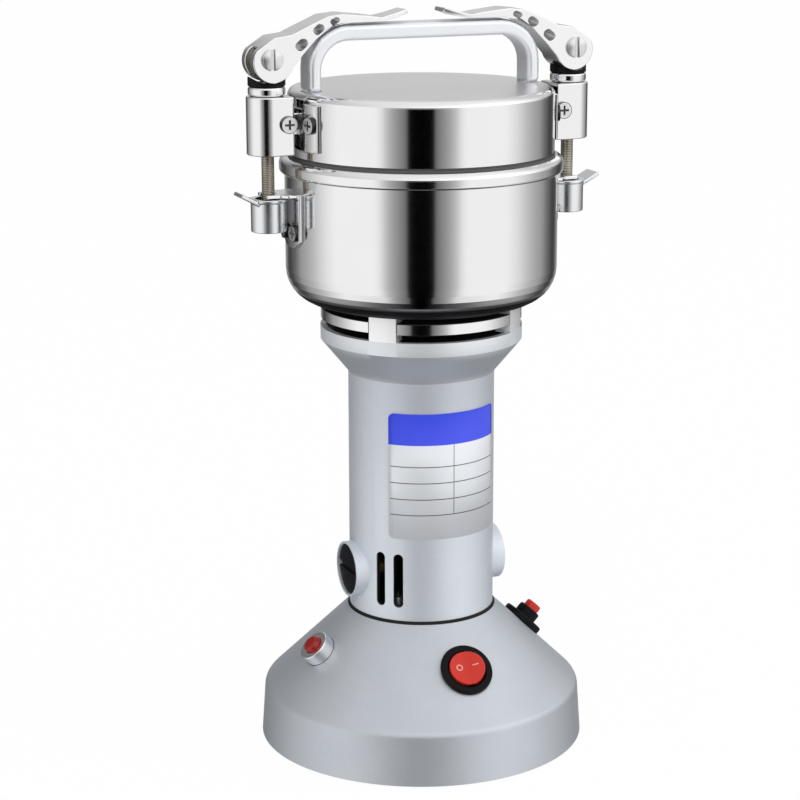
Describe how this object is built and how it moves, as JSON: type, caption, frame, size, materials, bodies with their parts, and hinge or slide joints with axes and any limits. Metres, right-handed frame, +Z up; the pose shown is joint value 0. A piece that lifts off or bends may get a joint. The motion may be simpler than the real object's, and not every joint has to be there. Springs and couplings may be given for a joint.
{
  "type": "electric grain mill",
  "caption": "Upright electric grain mill: bell base, slim motor column, polished bowl and clamped lid with a bar handle, and cam-lever clamps.",
  "frame": {"origin": "centre of the base on the table", "axes": "+Z up along the motor shaft, front with the rocker switch at -Y, clamps and brushes along X"},
  "size_m": [0.156, 0.135, 0.3035],
  "materials": {
    "silver_paint": "satin silver paint with a fine grain",
    "black_sheet": "plain matt black",
    "rubber": "matt black rubber",
    "black_plastic": "moulded black with a soft gloss",
    "red_plastic": "clear-looking moulded red",
    "chrome_trim": "bright plating",
    "label_foil": "printed foil: blue heading band over a grey ruled table",
    "core_steel": "stacked sheet steel",
    "copper_wire": "varnished copper wire",
    "steel": "bright machined steel",
    "cast_alloy": "as cast",
    "stainless": "mirror-polished stainless steel",
    "brass": "drawn brass",
    "carbon": "pressed carbon",
    "white_plastic": "moulded white",
    "handle_enamel": "smooth pale grey enamel",
    "lever_enamel": "bright white-silver casting, polished",
    "zinc_casting": "plated die casting"
  },
  "bodies": {
    "mill": {"base_shell": "silver_paint", "bottom_cover": "black_sheet", "rubber_feet": "rubber", "cord_gland": "black_plastic", "switch_bezel": "black_plastic", "lamp_bezel": "chrome_trim", "lamp_lens": "red_plastic", "reset_body": "black_plastic", "motor_housing": "silver_paint", "rating_label": "label_foil", "stator_core": "core_steel", "field_coils": "copper_wire", "lower_bearing": "steel", "upper_bearing": "steel", "bearing_bracket": "cast_alloy", "vent_plate": "stainless", "brush_holder_left": "brass", "brush_holder_right": "brass", "carbon_brush_left": "carbon", "carbon_brush_right": "carbon", "brush_cap_left": "black_plastic", "brush_cap_right": "black_plastic", "brush_spring_left": "steel", "brush_spring_right": "steel", "bowl": "stainless", "shaft_seal": "rubber", "bowl_catch_left": "stainless", "bowl_catch_right": "stainless", "lid": "stainless", "lid_seal": "rubber", "lid_handle": "handle_enamel", "clamp_bracket_left": "stainless", "clamp_bracket_right": "stainless", "machine_screws": "steel"},
    "clamp_left": {"clamp_housing_left": "stainless", "clamp_screw_left": "steel", "clamp_collar_left": "stainless", "cam_pad_left": "black_plastic"},
    "rod_left": {"clamp_rod_left": "steel"},
    "nut_left": {"thumb_nut_left": "zinc_casting"},
    "lever_left": {"clamp_lever_left": "lever_enamel", "lever_pin_left": "steel"},
    "clamp_right": {"clamp_housing_right": "stainless", "clamp_screw_right": "steel", "clamp_collar_right": "stainless", "cam_pad_right": "black_plastic"},
    "rod_right": {"clamp_rod_right": "steel"},
    "nut_right": {"thumb_nut_right": "zinc_casting"},
    "lever_right": {"clamp_lever_right": "lever_enamel", "lever_pin_right": "steel"},
    "rotor": {"motor_shaft": "steel", "armature_core": "core_steel", "armature_windings": "copper_wire", "commutator": "brass", "cooling_fan": "white_plastic", "lower_blade": "stainless", "upper_blade": "stainless", "blade_nut": "steel"},
    "rocker": {"switch_rocker": "red_plastic"},
    "reset": {"reset_button": "red_plastic"}
  },
  "joints": [
    {"name": "rotor_spin", "type": "hinge", "parent": "mill", "child": "rotor", "pos_m": [0, 0, 0.1], "axis": [0, 0, 1], "continuous": true},
    {"name": "rocker_tilt", "type": "hinge", "parent": "mill", "child": "rocker", "pos_m": [0, -0.04704, 0.0415], "axis": [0, 0.719, 0.695], "range_deg": [0, 18]},
    {"name": "reset_press", "type": "slide", "parent": "mill", "child": "reset", "axis": [-0.695, 0, -0.719], "range_m": [0, 0.002], "stiffness_N_per_m": 500},
    {"name": "clamp_swing_left", "type": "hinge", "parent": "mill", "child": "clamp_left", "pos_m": [-0.0592, 0, 0.2609], "axis": [0, 1, 0], "range_deg": [0, 13]},
    {"name": "rod_drop_left", "type": "slide", "parent": "clamp_left", "child": "rod_left", "axis": [0, 0, -1], "range_m": [0, 0.0018]},
    {"name": "lever_turn_left", "type": "hinge", "parent": "rod_left", "child": "lever_left", "pos_m": [-0.0652, 0, 0.286], "axis": [0, -1, 0], "range_deg": [0, 105]},
    {"name": "nut_turn_left", "type": "hinge", "parent": "rod_left", "child": "nut_left", "pos_m": [-0.0652, 0, 0.2247], "axis": [0, 0, 1], "range_deg": [-60, 60]},
    {"name": "clamp_swing_right", "type": "hinge", "parent": "mill", "child": "clamp_right", "pos_m": [0.0592, 0, 0.2609], "axis": [0, -1, 0], "range_deg": [0, 13]},
    {"name": "rod_drop_right", "type": "slide", "parent": "clamp_right", "child": "rod_right", "axis": [0, 0, -1], "range_m": [0, 0.0018]},
    {"name": "lever_turn_right", "type": "hinge", "parent": "rod_right", "child": "lever_right", "pos_m": [0.0652, 0, 0.286], "axis": [0, 1, 0], "range_deg": [0, 105]},
    {"name": "nut_turn_right", "type": "hinge", "parent": "rod_right", "child": "nut_right", "pos_m": [0.0652, 0, 0.2247], "axis": [0, 0, 1], "range_deg": [-60, 60]}
  ],
  "couplings": [
    {"joint": "clamp_swing_left", "follows": "rod_drop_left", "rad_per_m": 126},
    {"joint": "lever_turn_left", "follows": "rod_drop_left", "rad_per_m": 1018.1},
    {"joint": "clamp_swing_right", "follows": "rod_drop_right", "rad_per_m": 126},
    {"joint": "lever_turn_right", "follows": "rod_drop_right", "rad_per_m": 1018.1}
  ]
}
